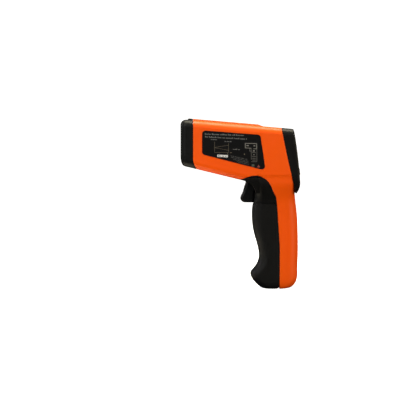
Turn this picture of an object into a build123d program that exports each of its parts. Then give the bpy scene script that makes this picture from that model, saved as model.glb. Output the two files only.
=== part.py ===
"""Pistol-shaped infrared thermometer with two aiming lasers.

A moulded head carries the optics at its nose and the display at its rear, and the grip below it holds a
nine-volt battery behind a hinged door. X runs from the nose (-X) to the display (+X), Y runs across the
body and Z is up, with Z = 0 on the flat end of the grip. All sizes are millimetres.
"""

from build123d import *

import os
from math import cos, radians, sin

os.makedirs("parts", exist_ok=True)

# ---------------------------------------------------------------- driving dimensions

HEAD_HALF = 21.0  # half the width of the head
EDGE_R = 6.0  # rounding along the head's long edges
WALL = 2.2  # moulded wall
SEAM = 0.12  # half the gap left at each seam between mouldings
WIDE = 60.0  # longer than anything across the body

# Side view of the head, as (X, Z)
NOSE_X = -51.3
TOP_FRONT, TOP_REAR = (NOSE_X, 145.3), (45.2, 137.0)
UNDER_FRONT, UNDER_REAR = (NOSE_X, 106.0), (-0.5, 93.6)
NECK_X, NECK_Z = 14.0, 98.0  # where the underside of the barrel ends and the neck begins
REAR_MID, REAR_LOW = (48.9, 112.0), (50.6, 93.0)
TONGUE_MID, TONGUE_TIP = (50.1, 86.6), (47.5, 81.8)
SPINE = [(-45.6, 0.0), (-44.4, 1.3), (15.0, 1.3), (19.5, 0.0)]  # X, height above the top line
SPINE_HALF, SPINE_R = 8.8, 0.9

# Neck and grip, as (Z, front X, back X, half width, corner radius)
GRIP_SECTIONS = [
    (0.0, 20.8, 38.6, 12.6, 5.5),
    (0.8, 18.4, 42.4, 13.9, 6.5),
    (2.8, 15.3, 45.7, 15.0, 7.5),
    (6.0, 12.0, 47.8, 15.5, 8.0),
    (9.5, 9.5, 48.8, 15.5, 8.0),
    (12.5, 8.9, 49.0, 15.5, 8.0),
    (16.5, 11.4, 49.1, 15.5, 8.0),
    (21.0, 14.6, 49.2, 15.5, 8.0),
    (28.0, 16.2, 49.4, 15.5, 8.0),
    (37.0, 14.8, 49.5, 15.5, 8.0),
    (48.0, 11.7, 49.3, 15.5, 8.0),
    (60.0, 10.2, 48.8, 15.5, 8.0),
    (70.0, 10.6, 47.8, 15.5, 7.6),
    (76.0, 11.8, 47.0, 15.9, 7.0),
    (84.0, 12.8, 46.2, 18.4, 5.6),
    (91.0, 13.0, 46.0, 20.45, 4.0),
    (NECK_Z, 13.0, 46.0, HEAD_HALF, 3.0),
]
GUSSET = [(3.6, 92.6), (9.6, 89.2), (13.0, 82.0)]  # concave curve under the barrel, behind the trigger
FRONT_CURVE = [(HEAD_HALF, NECK_Z), (20.45, 91.0), (18.4, 84.0), (15.9, 76.0), (15.5, 70.0)]

# Seams between the mouldings, in the side view
NOSE_SEAM_X = -40.7
DISPLAY_SEAM = [(34.4, 138.9), (39.3, 115.0), (46.1, 86.5)]
ARCH_SEAM = [(-0.5, 93.7), (11.5, 97.2), (23.2, 92.3), (28.2, 82.5), (31.6, 64.0), (33.4, 37.0)]
ARCH_NORMALS = [(0, 1), (0, 1), (0.6, 0.8), (0.97, 0.24), (1, 0), (1, 0)]
LIP_T, LIP_COVER = 1.0, 1.6  # lip behind the arched seam: thickness, and reach to either side of it
DOOR_TOP = 73.0
DOOR_GAP = 0.3

# Optics, on axes that point out of the nose
OPTICS = Plane(origin=(NOSE_X, 0, 125.8), x_dir=(0, 1, 0), z_dir=(-1, 0, 0))
LASER_OFFSET = 10.6
LENS_R, BARREL_R = 5.8, 7.2
LASER_R, LASER_HOLE_R = 3.1, 2.2
SENSOR_BOARD_DEPTH, SENSOR_BOARD_T = 21.65, 1.2
LASER_LENGTH, LASER_TAIL = 15.0, 2.0
NOSE_WALL = 2.6
NOSE_R = 4.4  # rounding around the nose's front
CHIN = [(NOSE_X, 113.5), (NOSE_X + 2.9, 103.5)]  # where the nose's front sweeps back, in the side view

# Display face: a plane through the rear face's chord, leaning forward at its top
DISPLAY_TILT = 6.5
DISPLAY_NORMAL = (cos(radians(DISPLAY_TILT)), 0, sin(radians(DISPLAY_TILT)))
DISPLAY_AXIS = Axis((0, 0, 0), DISPLAY_NORMAL)
DISPLAY = Plane(origin=(48.4, 0, 113.5), x_dir=(0, 1, 0), z_dir=DISPLAY_NORMAL)
BEZEL_WALL = 2.6
WINDOW_SIZE, WINDOW_Y, WINDOW_R = (27.0, 19.0), 8.0, 1.5
KEY_Y, KEY_PITCH = -13.2, 10.2
KEY_SIZE, KEY_R = (8.0, 6.0), 2.4
KEY_PROUD = 0.9
BOARD_DEPTH, BOARD_T = 8.1, 1.6

# Trigger pivot and door hinge, both along Y, as (X, Z)
PIVOT, PIVOT_R = (14.6, 90.6), 1.2
HINGE, HINGE_R = (30.2, 3.1), 3.0
KNUCKLE_HALF, ARM_FROM, ARM_TO = 6.0, 6.4, 10.4  # door knuckle and housing arms, out from the middle
RUN_FIT = 0.06  # radial clearance of a bore that turns on its pin
ARM_CLEAR = 0.35  # room around the housing arms inside the door
TRIGGER_HALF = 6.3
TRIGGER_BACK = 12.4
TRIGGER_SECTIONS = [  # Z, front X
    (73.9, 3.4),
    (74.8, 1.4),
    (77.0, 0.1),
    (79.8, 0.8),
    (84.0, 2.6),
    (88.5, 3.8),
    (92.4, 4.2),
]

# Housing screws, as (X, Z)
SCREWS = [(-14.0, 135.8), (-25.0, 108.0), (26.5, 131.0), (39.3, 74.5), (40.4, 6.8)]
SCREW_HEAD_Y, SCREW_LENGTH, SCREW_R, SCREW_HEAD_R = 8.6, 14.0, 1.25, 2.4
BOSS_R = 3.2

# Nine-volt battery
BATTERY, BATTERY_R = (26.2, 17.5, 46.4), 2.0
BATTERY_X, BATTERY_Z = 32.6, 11.0

# Battery leads, where they pass through the shelf above the battery
LEAD_X, LEAD_Y = 29.0, 4.5

# Labels on the sides of the head, as (X, Z) from the top left
LABEL = [(-33.0, 135.9), (16.6, 132.1), (21.3, 101.5), (-33.0, 115.4)]
LABEL_R = 3.0
LABEL_T, LABEL_DEPTH = 0.3, 0.15
LABEL_SHRINK = 2.4  # the right label is this much smaller all round, clear of the screw holes


# ---------------------------------------------------------------- helpers


def write(part, label):
    """Labels a finished piece and writes it as the node of that name."""
    part.label = label
    export_step(part, f"parts/{label}.step")


def height_at(start, end, x):
    """Height of the line from start to end at x."""
    return start[1] + (end[1] - start[1]) * (x - start[0]) / (end[0] - start[0])


def slab(sketch, half):
    """A side-view sketch thickened by half to either side."""
    with BuildPart() as block:
        extrude(sketch, amount=half, dir=(0, 1, 0))
        extrude(sketch, amount=half, dir=(0, -1, 0))
    return block.part


def joined(*parts):
    """Union of several solids."""
    with BuildPart() as union:
        for part in parts:
            add(part)
    return union.part


def common(first, *others):
    """Intersection of several solids."""
    with BuildPart() as overlap:
        add(first)
        for part in others:
            add(part, mode=Mode.INTERSECT)
    return overlap.part


def without(first, *others):
    """The first solid with the others taken away."""
    with BuildPart() as rest:
        add(first)
        for part in others:
            add(part, mode=Mode.SUBTRACT)
    return rest.part


def box_between(low, high):
    """Box between two opposite corners."""
    size = [b - a for a, b in zip(low, high)]
    middle = [(a + b) / 2 for a, b in zip(low, high)]
    with BuildPart() as block:
        with Locations(tuple(middle)):
            Box(*size)
    return block.part


def cross_rod(x, z, radius, y_from, y_to):
    """Cylinder along Y."""
    with BuildPart() as rod:
        with BuildSketch(Plane.XZ.offset(-y_from)):
            with Locations((x, z)):
                Circle(radius)
        extrude(amount=y_from - y_to)
    return rod.part


def plate_on(plane, depth, thickness, size, centre=(0, 0), corner=0.0):
    """Rectangular plate lying depth behind a plane."""
    with BuildPart() as plate:
        with BuildSketch(plane.offset(-depth)):
            with Locations(centre):
                if corner:
                    RectangleRounded(*size, corner)
                else:
                    Rectangle(*size)
        extrude(amount=-thickness)
    return plate.part


def rod_on(plane, depth, length, radius, centre=(0, 0)):
    """Round bar standing depth behind a plane."""
    with BuildPart() as rod:
        with BuildSketch(plane.offset(-depth)):
            with Locations(centre):
                Circle(radius)
        extrude(amount=-length)
    return rod.part


def wire(points, radius, bend):
    """Round wire along straight runs joined by bends."""
    with BuildPart() as lead:
        with BuildLine() as path:
            FilletPolyline(*points, radius=bend)
        with BuildSketch(Plane(origin=path.line @ 0, z_dir=path.line % 0)):
            Circle(radius)
        sweep()
    return lead.part


# ---------------------------------------------------------------- seams in the side view


def nose_zone(grow):
    """Everything in front of the nose seam, whose lower end sweeps back."""
    seam = NOSE_SEAM_X + grow
    with BuildSketch(Plane.XZ) as zone:
        with BuildLine():
            Polyline((seam - 40, 90), (seam - 40, 160), (seam, 160), (seam, 112))
            Spline((seam, 112), (seam + 2.6, 103.5), tangents=[(0, -1), (0.5, -1)])
            Polyline((seam + 2.6, 103.5), (seam + 8, 90), (seam - 40, 90))
        make_face()
    return zone.sketch


def display_zone(grow):
    """Everything behind the display seam, down to the tip of the tongue."""
    seam = [(x - grow, z) for x, z in DISPLAY_SEAM]
    with BuildSketch(Plane.XZ) as zone:
        with BuildLine():
            Line((seam[0][0] - 1.3, 150), seam[0])
            ThreePointArc(*seam)
            Polyline(seam[-1], (seam[-1][0] + 1.3, 78), (90, 78), (90, 150), (seam[0][0] - 1.3, 150))
        make_face()
    return zone.sketch


def grip_zone(grow):
    """Everything in front of and below the arched seam, rounded to the door's knuckle at the foot."""
    seam = [(x + grow * dx, z + grow * dz) for (x, z), (dx, dz) in zip(ARCH_SEAM, ARCH_NORMALS)]
    with BuildSketch(Plane.XZ) as zone:
        with BuildLine():
            Spline(seam[:-1], tangents=[(1, 0.3), (seam[-1][0] - seam[-2][0], seam[-1][1] - seam[-2][1])])
            Polyline(
                seam[-2],
                seam[-1],
                (seam[-1][0], HINGE[1]),
                (HINGE[0], HINGE[1]),
                (HINGE[0], -20),
                (-60, -20),
                (-60, 60),
                (-8, 92 + grow),
                seam[0],
            )
        make_face()
        with Locations(HINGE):
            Circle(seam[-1][0] - HINGE[0])
    return zone.sketch


# ---------------------------------------------------------------- overall forms


def head_block(inset):
    """Tapered bar of the head, running past the nose and the display, with rounded long edges."""
    front, rear = NOSE_X - 20, 75
    half = HEAD_HALF - inset
    with BuildPart() as block:
        with BuildSketch(Plane.XZ):
            with BuildLine():
                Polyline(
                    (front, height_at(TOP_FRONT, TOP_REAR, front) - inset),
                    (rear, height_at(TOP_FRONT, TOP_REAR, rear) - inset),
                    (rear, NECK_Z),
                    (NECK_X, NECK_Z),
                    (NECK_X, height_at(UNDER_FRONT, UNDER_REAR, NECK_X) + inset),
                    (front, height_at(UNDER_FRONT, UNDER_REAR, front) + inset),
                    close=True,
                )
            make_face()
        extrude(amount=half, both=True)
        sides = block.edges().filter_by(lambda e: abs(abs(e.center().Y) - half) < 0.01)
        long_edges = sides.filter_by(lambda e: e.length > 60 and e.bounding_box().size.Z > 1)
        fillet(long_edges, radius=EDGE_R - inset)
    return block.part


def grip_block(inset):
    """Neck and grip, lofted through their sections."""
    with BuildPart() as block:
        for z, front, back, half, corner in GRIP_SECTIONS:
            if z >= inset:
                with BuildSketch(Plane.XY.offset(z)):
                    with Locations(((front + back) / 2, 0)):
                        RectangleRounded(back - front - 2 * inset, 2 * (half - inset), corner - inset)
        loft(ruled=inset > 0)
    return block.part


def top_spine():
    """Low raised spine along the top of the head."""
    with BuildSketch(Plane.XZ) as side:
        with BuildLine():
            raised = [(x, height_at(TOP_FRONT, TOP_REAR, x) + rise) for x, rise in SPINE]
            Polyline(*raised, (SPINE[-1][0], 134), (SPINE[0][0], 134), close=True)
        make_face()
    with BuildPart() as spine:
        add(slab(side.sketch, SPINE_HALF))
        long_edges = spine.edges().filter_by(lambda e: e.length > 50 and e.center().Z > 138)
        fillet(long_edges, radius=SPINE_R)
    return spine.part


def front_prism(inset):
    """Front view of the head and neck, run along X."""
    right = [(y - inset, z) for y, z in FRONT_CURVE]
    left = [(-y, z) for y, z in reversed(right)]
    with BuildPart() as prism:
        with BuildSketch(Plane.YZ):
            with BuildLine():
                Line((left[-1][0], 160), (right[0][0], 160))
                Line((right[0][0], 160), right[0])
                Spline(right, tangents=[(0, -1), (0, -1)])
                Line(right[-1], left[0])
                Spline(left, tangents=[(0, 1), (0, 1)])
                Line(left[-1], (left[-1][0], 160))
            make_face()
        extrude(amount=80, both=True)
    return prism.part


def gusset_block():
    """Concave web between the barrel's underside and the front of the neck."""
    with BuildSketch(Plane.XZ) as side:
        with BuildLine():
            ThreePointArc(*GUSSET)
            Polyline(GUSSET[-1], (16.0, GUSSET[-1][1]), (16.0, 95.0), (GUSSET[0][0], 95.0), GUSSET[0])
        make_face()
    return slab(side.sketch, HEAD_HALF)


head_outer, head_inner = head_block(0), head_block(WALL)
grip_outer, grip_inner = grip_block(0), grip_block(WALL)
form = joined(head_outer, grip_outer, top_spine())
cavity = joined(head_inner, grip_inner)
neck_prism = front_prism(0)

optic_mid = OPTICS.origin.Z
laser_heights = [optic_mid + LASER_OFFSET, optic_mid - LASER_OFFSET]
laser_spots = [(0, LASER_OFFSET), (0, -LASER_OFFSET)]
key_spots = [(KEY_PITCH * step, KEY_Y) for step in (-1, 0, 1)]


# ---------------------------------------------------------------- head and grip housings


def label_outline(shrink):
    """Outline of a side label."""
    with BuildSketch(Plane.XZ) as outline:
        with BuildLine():
            Polyline(*LABEL, close=True)
        make_face()
        fillet(outline.vertices(), LABEL_R)
        if shrink:
            offset(amount=-shrink)
    return outline.sketch


def label_block(shrink, y_from, y_to):
    """Block with a label's outline, between two places across the body."""
    low, high = sorted((y_from, y_to))
    return common(slab(label_outline(shrink), WIDE), box_between((-60, low, 60), (60, high, 160)))


display_bay = plate_on(DISPLAY, BEZEL_WALL, 14.0, (33.0, 42.2), (0, -0.9), 2.0)
left_recess = label_block(0, LABEL_DEPTH - HEAD_HALF, -WIDE)
right_recess = label_block(LABEL_SHRINK, HEAD_HALF - LABEL_DEPTH, WIDE)
foot_room = box_between((20, -WIDE, -10), (ARCH_SEAM[-1][0] + SEAM, WIDE, HINGE[1]))
seam_lip = without(
    common(cavity, slab(grip_zone(LIP_COVER), WIDE), box_between((9, -WIDE, 77), (34, WIDE, 99))),
    slab(grip_zone(-LIP_COVER), WIDE),
    front_prism(WALL + LIP_T),
)
walls = without(
    form,
    foot_room,
    cavity,
    slab(nose_zone(SEAM), WIDE),
    slab(display_zone(SEAM), WIDE),
    slab(grip_zone(SEAM), WIDE),
    display_bay,
    left_recess,
    right_recess,
)
shell = joined(walls, seam_lip)


def screw_wall(x, z):
    """How far out a screw's boss reaches to run into the wall."""
    return (HEAD_HALF if z > NECK_Z else GRIP_SECTIONS[8][3]) - 1.0


def half_housing(side):
    """One half of the orange housing: side is -1 for the left and +1 for the right."""
    near, far = 0.05, WIDE
    keep = box_between((-80, min(side * near, side * far), -10), (80, max(side * near, side * far), 170))
    half = common(shell, keep)
    bosses = []
    holes = []
    for x, z in SCREWS:
        bosses.append(cross_rod(x, z, BOSS_R, side * near, side * screw_wall(x, z)))
        if side > 0:
            holes.append(cross_rod(x, z, SCREW_R + 0.2, 0, SCREW_HEAD_Y))
            holes.append(cross_rod(x, z, SCREW_HEAD_R + 0.3, SCREW_HEAD_Y, WIDE))
        else:
            holes.append(cross_rod(x, z, SCREW_R, 0, -10.0))
    shelf = common(
        box_between((16.0, min(side * 0.2, side * 12.7), 67.4), (47.4, max(side * 0.2, side * 12.7), 69.0)),
        grip_block(1.0),
    )
    arm_low, arm_high = sorted((side * ARM_FROM, side * ARM_TO))
    arms = joined(
        cross_rod(*HINGE, HINGE_R - 0.1, side * ARM_FROM, side * ARM_TO),
        box_between((HINGE[0], arm_low, 0.8), (36.0, arm_high, HINGE[1] + HINGE_R - 0.1)),
    )
    holes.append(cross_rod(*HINGE, PIVOT_R, -20, 20))
    ribs = [arms, without(shelf, rod_on(Plane.XY, -60, -20, 2.2, (LEAD_X, side * LEAD_Y)))]
    for x in (36.4, 43.0):
        low, high = sorted((side * (BATTERY[1] / 2 + 0.2), side * 14.4))
        ribs.append(common(box_between((x, low, 2.0), (x + 1.6, high, 68.0)), grip_block(1.0)))
    return without(joined(half, *bosses, *ribs), *holes)


left_housing = half_housing(-1)
right_housing = half_housing(1)
write(left_housing, "left_housing")
write(right_housing, "right_housing")

# ---------------------------------------------------------------- nose

with BuildSketch(Plane.XZ) as nose_side:
    with BuildLine():
        Polyline((0, 180), (NOSE_X, 180), CHIN[0])
        TangentArc(*CHIN, tangent=(0, -1))
        Polyline(CHIN[1], (CHIN[1][0], 90), (0, 90), (0, 180))
    make_face()
nose_solid = common(head_outer, slab(nose_zone(-SEAM), WIDE), slab(nose_side.sketch, WIDE))
nose_spine = common(top_spine(), slab(nose_zone(-SEAM), WIDE))
nose_room = joined(
    box_between((NOSE_X + NOSE_WALL, -WIDE, CHIN[0][1] - 3), (0, WIDE, 180)),
    box_between((NOSE_X + 2 * NOSE_WALL, -WIDE, 60), (0, WIDE, 180)),
)
with BuildPart() as nose_bezel:
    add(nose_solid)
    front_faces = nose_bezel.faces().filter_by(lambda f: f.center().X < NOSE_X + 2)
    rim = [e for e in front_faces.edges() if sum(e in face.edges() for face in front_faces) == 1]
    fillet(rim, radius=NOSE_R)
    add(nose_spine)
    add(common(head_inner, nose_room), mode=Mode.SUBTRACT)
    with BuildSketch(OPTICS):
        Circle(BARREL_R + 0.9)
    extrude(amount=-10, mode=Mode.SUBTRACT)
    with BuildSketch(OPTICS):
        with Locations(*laser_spots):
            Circle(LASER_HOLE_R)
    extrude(amount=-10, mode=Mode.SUBTRACT)
    with Locations(OPTICS):
        with Locations((0, 0, -0.3)):
            Cone(BARREL_R + 0.9, BARREL_R + 1.5, 0.6, mode=Mode.SUBTRACT)
        with Locations((0, LASER_OFFSET, -0.3), (0, -LASER_OFFSET, -0.3)):
            Cone(LASER_HOLE_R, LASER_HOLE_R + 0.6, 0.6, mode=Mode.SUBTRACT)
write(nose_bezel.part, "nose_bezel")

# ---------------------------------------------------------------- display bezel

with BuildSketch(Plane.XZ) as rear_side:
    with BuildLine():
        ThreePointArc(TOP_REAR, REAR_MID, REAR_LOW)
        ThreePointArc(REAR_LOW, TONGUE_MID, TONGUE_TIP)
        Polyline(TONGUE_TIP, (46.3, 84.6), (20, 84.6), (20, height_at(TOP_FRONT, TOP_REAR, 20)), TOP_REAR)
    make_face()
rear_solid = common(slab(rear_side.sketch, WIDE), slab(display_zone(-SEAM), WIDE), neck_prism)
with BuildPart() as rear_bezel:
    add(rear_solid)
    top_edges = rear_bezel.edges().filter_by(
        lambda e: abs(abs(e.center().Y) - HEAD_HALF) < 0.01 and e.center().Z > 135
    )
    fillet(top_edges, radius=EDGE_R)
    rim = rear_bezel.faces().filter_by(lambda f: f.center().X > 47.5 and f.area > 300).edges()
    fillet(rim.filter_by(lambda e: e.center().Z > 84), radius=1.6)
    inner = common(head_inner, slab(rear_side.sketch, WIDE), plate_on(DISPLAY, BEZEL_WALL, 40, (90, 90)))
    add(inner, mode=Mode.SUBTRACT)
    add(display_bay, mode=Mode.SUBTRACT)
    add(grip_block(-0.15), mode=Mode.SUBTRACT)
    with BuildSketch(DISPLAY.offset(5)):
        with Locations((0, WINDOW_Y)):
            RectangleRounded(*WINDOW_SIZE, WINDOW_R)
        with Locations(*key_spots):
            RectangleRounded(KEY_SIZE[0] + 0.6, KEY_SIZE[1] + 0.6, KEY_R + 0.3)
    extrude(amount=-12, mode=Mode.SUBTRACT)
write(rear_bezel.part, "rear_bezel")

# ---------------------------------------------------------------- optics

with BuildPart() as aperture_ring:
    with BuildSketch(OPTICS.offset(-0.6)):
        Circle(BARREL_R + 0.8)
        Circle(LENS_R + 0.6, mode=Mode.SUBTRACT)
    extrude(amount=-1.9)
    chamfer(aperture_ring.edges().filter_by(GeomType.CIRCLE).sort_by(Axis.X)[0], 0.5)
write(aperture_ring.part, "aperture_ring")

with BuildPart() as lens_barrel:
    with BuildSketch(OPTICS.offset(-2.6)):
        Circle(BARREL_R)
    extrude(amount=-19)
    with BuildSketch(OPTICS.offset(-2.6)):
        Circle(LENS_R + 0.02)
    extrude(amount=-2.4, mode=Mode.SUBTRACT)
    with BuildSketch(OPTICS.offset(-2.6)):
        Circle(LENS_R - 0.8)
    extrude(amount=-14, mode=Mode.SUBTRACT)
    with BuildSketch(OPTICS.offset(-16.6)):
        Circle(4.15)
    extrude(amount=-6, mode=Mode.SUBTRACT)
write(lens_barrel.part, "lens_barrel")

with BuildPart() as ir_lens:
    with BuildSketch(Plane.XZ) as lens_side:
        front_x, rim_x, back_x = NOSE_X + 3.4, NOSE_X + 3.9, NOSE_X + 4.9
        low_z = optic_mid - LENS_R
        with BuildLine():
            crown = ThreePointArc((rim_x, optic_mid + LENS_R), (front_x, optic_mid), (rim_x, low_z))
            Polyline(crown @ 1, (back_x, low_z), (back_x, optic_mid + LENS_R), crown @ 0)
        make_face()
        with Locations((NOSE_X, optic_mid + 10)):
            Rectangle(40, 20, mode=Mode.SUBTRACT)
    revolve(axis=Axis((0, 0, optic_mid), (1, 0, 0)))
write(ir_lens.part, "ir_lens")

with BuildPart() as thermopile_sensor:
    with BuildSketch(OPTICS.offset(-17.4)):
        Circle(4.1)
    extrude(amount=-4.1)
    with BuildSketch(OPTICS.offset(-17.4)):
        Circle(1.5)
    extrude(amount=-0.3, mode=Mode.SUBTRACT)
write(thermopile_sensor.part, "thermopile_sensor")

sensor_board = plate_on(OPTICS, SENSOR_BOARD_DEPTH, SENSOR_BOARD_T, (17.0, 17.0), corner=1.0)
write(sensor_board, "sensor_board")

for name, spot in zip(("upper", "lower"), laser_spots):
    with BuildPart() as laser:
        with BuildSketch(OPTICS.offset(-NOSE_WALL - 0.1)):
            with Locations(spot):
                Circle(LASER_R)
        extrude(amount=-LASER_LENGTH)
        with BuildSketch(OPTICS.offset(-NOSE_WALL - 0.1)):
            with Locations(spot):
                Circle(1.6)
        extrude(amount=-1.2, mode=Mode.SUBTRACT)
        with BuildSketch(OPTICS.offset(-NOSE_WALL - 0.1 - LASER_LENGTH)):
            with Locations(spot):
                Circle(2.3)
        extrude(amount=-LASER_TAIL)
    write(laser.part, f"{name}_laser")

with BuildPart() as laser_windows:
    with BuildSketch(OPTICS.offset(-0.9)):
        with Locations(*laser_spots):
            Circle(LASER_HOLE_R)
    extrude(amount=-0.8)
write(laser_windows.part, "laser_windows")

with BuildPart() as laser_bracket:
    with BuildSketch(OPTICS.offset(-12.0)):
        RectangleRounded(24, 29.4, 3)
        Circle(BARREL_R, mode=Mode.SUBTRACT)
        with Locations(*laser_spots):
            Circle(LASER_R, mode=Mode.SUBTRACT)
    extrude(amount=-2.4)
write(laser_bracket.part, "laser_bracket")

# ---------------------------------------------------------------- display and keys

with BuildPart() as display_window:
    with BuildSketch(DISPLAY.offset(-0.5)):
        with Locations((0, WINDOW_Y)):
            RectangleRounded(WINDOW_SIZE[0] - 0.1, WINDOW_SIZE[1] - 0.1, WINDOW_R)
    extrude(amount=-(BEZEL_WALL - 0.45))
    with BuildSketch(DISPLAY.offset(-BEZEL_WALL - 0.05)):
        with Locations((0, WINDOW_Y)):
            Rectangle(WINDOW_SIZE[0] + 3, WINDOW_SIZE[1] + 3)
    extrude(amount=-0.7)
write(display_window.part, "display_window")

write(plate_on(DISPLAY, 3.5, 1.5, (31.0, 22.6), (0, WINDOW_Y)), "lcd_glass")
write(plate_on(DISPLAY, 5.05, 2.4, (29.0, 18.6), (0, WINDOW_Y)), "lcd_backlight")
zebra_strips = joined(
    plate_on(DISPLAY, 5.05, BOARD_DEPTH - 5.1, (28.0, 1.6), (0, WINDOW_Y + 10.4)),
    plate_on(DISPLAY, 5.05, BOARD_DEPTH - 5.1, (28.0, 1.6), (0, WINDOW_Y - 10.4)),
)
write(zebra_strips, "zebra_strips")

main_board = joined(
    plate_on(DISPLAY, BOARD_DEPTH, BOARD_T, (32.0, 33.0), (0, 3.4), 1.0),
    plate_on(DISPLAY, BOARD_DEPTH, BOARD_T, (28.0, 12.0), (0, -15.6), 1.0),
)
write(main_board, "main_board")

back_of_board = BOARD_DEPTH + BOARD_T + 0.02
board_components = [
    plate_on(DISPLAY, back_of_board, 1.5, (10.0, 10.0), (-3.0, 8.0)),
    plate_on(DISPLAY, back_of_board, 1.1, (5.0, 4.0), (8.0, 12.0)),
    plate_on(DISPLAY, back_of_board, 3.4, (4.6, 3.6), (9.6, 3.0), 1.7),
    plate_on(DISPLAY, back_of_board, 4.6, (10.0, 4.4), (-9.5, -5.0)),
    plate_on(DISPLAY, back_of_board, 4.6, (10.0, 4.4), (9.5, -5.0)),
    plate_on(DISPLAY, back_of_board, 4.6, (8.0, 4.4), (0.0, -10.0)),
    rod_on(DISPLAY, back_of_board, 5.6, 2.5, (-10.5, 15.5)),
]
write(joined(*board_components), "board_components")

keypad = [plate_on(DISPLAY, BOARD_DEPTH - 0.55, 0.5, (30.4, 8.6), (0, KEY_Y), 1.0)]
keypad += [rod_on(DISPLAY, 6.95, BOARD_DEPTH - 7.45, 2.2, spot) for spot in key_spots]
write(joined(*keypad), "keypad")

for name, spot in zip(("down", "mode", "up"), key_spots):
    with BuildPart() as button:
        with BuildSketch(DISPLAY.offset(KEY_PROUD)):
            with Locations(spot):
                RectangleRounded(*KEY_SIZE, KEY_R)
        extrude(amount=-(KEY_PROUD + 3.0))
        cap_rim = button.faces().sort_by(DISPLAY_AXIS)[-1].edges()
        fillet(cap_rim, radius=0.5)
        with BuildSketch(DISPLAY.offset(-2.95)):
            with Locations(spot):
                RectangleRounded(KEY_SIZE[0] + 1.4, KEY_SIZE[1] + 1.4, KEY_R + 0.6)
        extrude(amount=-0.8)
        with BuildSketch(DISPLAY.offset(-3.7)):
            with Locations(spot):
                Circle(1.8)
        extrude(amount=-2.35)
    write(button.part, f"button_{name}")

# ---------------------------------------------------------------- trigger and its surround

slot_half = TRIGGER_HALF + 0.5
surround_zone = slab(grip_zone(-SEAM), WIDE)
above_door = box_between((-40, -WIDE, DOOR_TOP + DOOR_GAP), (60, WIDE, 120))
slot = box_between((-20, -slot_half, 60), (17.6, slot_half, 94.0))
gusset = common(gusset_block(), neck_prism)
spring_pocket = cross_rod(*PIVOT, 3.1, -slot_half - 3.8, -slot_half + 0.5)
pin_bore = cross_rod(*PIVOT, PIVOT_R, -11.6, 11.6)
trigger_surround = without(
    common(joined(form, gusset), surround_zone, above_door), cavity, slot, spring_pocket, pin_bore
)
write(trigger_surround, "trigger_surround")

with BuildPart() as trigger:
    for z, front in TRIGGER_SECTIONS:
        with BuildSketch(Plane.XY.offset(z)):
            with Locations(((front + TRIGGER_BACK) / 2, 0)):
                RectangleRounded(TRIGGER_BACK - front, 2 * TRIGGER_HALF, 2.2)
    loft()
    with BuildSketch(Plane.XZ):
        with BuildLine():
            lever = [(9, 84), (12.2, 84), (PIVOT[0] + 2.4, PIVOT[1]), (PIVOT[0], 92.4), (9, 92.4)]
            Polyline(*lever, close=True)
        make_face()
    extrude(amount=TRIGGER_HALF, both=True)
    with BuildSketch(Plane.XZ):
        with Locations((13.4, 82.2)):
            Rectangle(3.6, 3.6)
        with Locations(PIVOT):
            Circle(2.6)
    extrude(amount=2.4, both=True)
    add(cross_rod(*PIVOT, PIVOT_R + RUN_FIT, -10, 10), mode=Mode.SUBTRACT)
write(trigger.part, "trigger")

write(cross_rod(*PIVOT, PIVOT_R, -11.6, 11.6), "trigger_pin")
switch_board_face = Plane(origin=(23.0, 0, 81.6), x_dir=(0, 1, 0), z_dir=(-1, 0, 0))
write(plate_on(switch_board_face, 0, 1.2, (11.0, 12.0)), "switch_board")

switch_face = Plane(origin=(19.4, 0, 82.2), x_dir=(0, 1, 0), z_dir=(-1, 0, 0))
trigger_switch = joined(
    plate_on(switch_face, 0, 3.55, (6.2, 6.2), corner=0.6),
    rod_on(switch_face.offset(2.4), 0, 2.6, 1.7),
)
write(trigger_switch, "trigger_switch")

# ---------------------------------------------------------------- battery door

below = box_between((-40, -WIDE, -20), (60, WIDE, DOOR_TOP))
door_shell = without(common(grip_outer, slab(grip_zone(-DOOR_GAP / 2), WIDE), below), grip_inner)
bore_end = ARM_TO + ARM_CLEAR
knuckle = joined(
    cross_rod(*HINGE, HINGE_R, -KNUCKLE_HALF, KNUCKLE_HALF),
    box_between((26.4, -KNUCKLE_HALF, 0.4), (HINGE[0], KNUCKLE_HALF, 2.6)),
)
arm_room = []
for side in (-1, 1):
    near, far = side * (ARM_FROM - ARM_CLEAR), side * bore_end
    arm_room.append(cross_rod(*HINGE, HINGE_R + ARM_CLEAR, near, far))
    arm_room.append(
        box_between((HINGE[0], min(near, far), -1), (40, max(near, far), HINGE[1] + HINGE_R + ARM_CLEAR))
    )
door_bore = cross_rod(*HINGE, PIVOT_R + RUN_FIT, -bore_end, bore_end)
battery_door = without(joined(door_shell, knuckle), *arm_room, door_bore)
write(battery_door, "battery_door")
write(cross_rod(*HINGE, PIVOT_R, -(ARM_TO - 0.2), ARM_TO - 0.2), "hinge_pin")

# ---------------------------------------------------------------- battery

with BuildPart() as battery:
    with Locations((BATTERY_X, 0, BATTERY_Z + BATTERY[2] / 2)):
        Box(*BATTERY)
    fillet(battery.edges().filter_by(Axis.Z), radius=BATTERY_R)
    fillet(battery.edges().filter_by(lambda e: e.center().Z > BATTERY_Z + BATTERY[2] - 0.1), radius=0.6)
write(battery.part, "battery")

battery_top = Plane.XY.offset(BATTERY_Z + BATTERY[2] + 0.02)
with BuildPart() as battery_terminals:
    with BuildSketch(battery_top):
        with Locations((BATTERY_X - 6.4, 0)):
            Circle(2.9)
        with Locations((BATTERY_X + 6.4, 0)):
            RegularPolygon(3.9, 6)
    extrude(amount=2.4)
write(battery_terminals.part, "battery_terminals")

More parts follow.
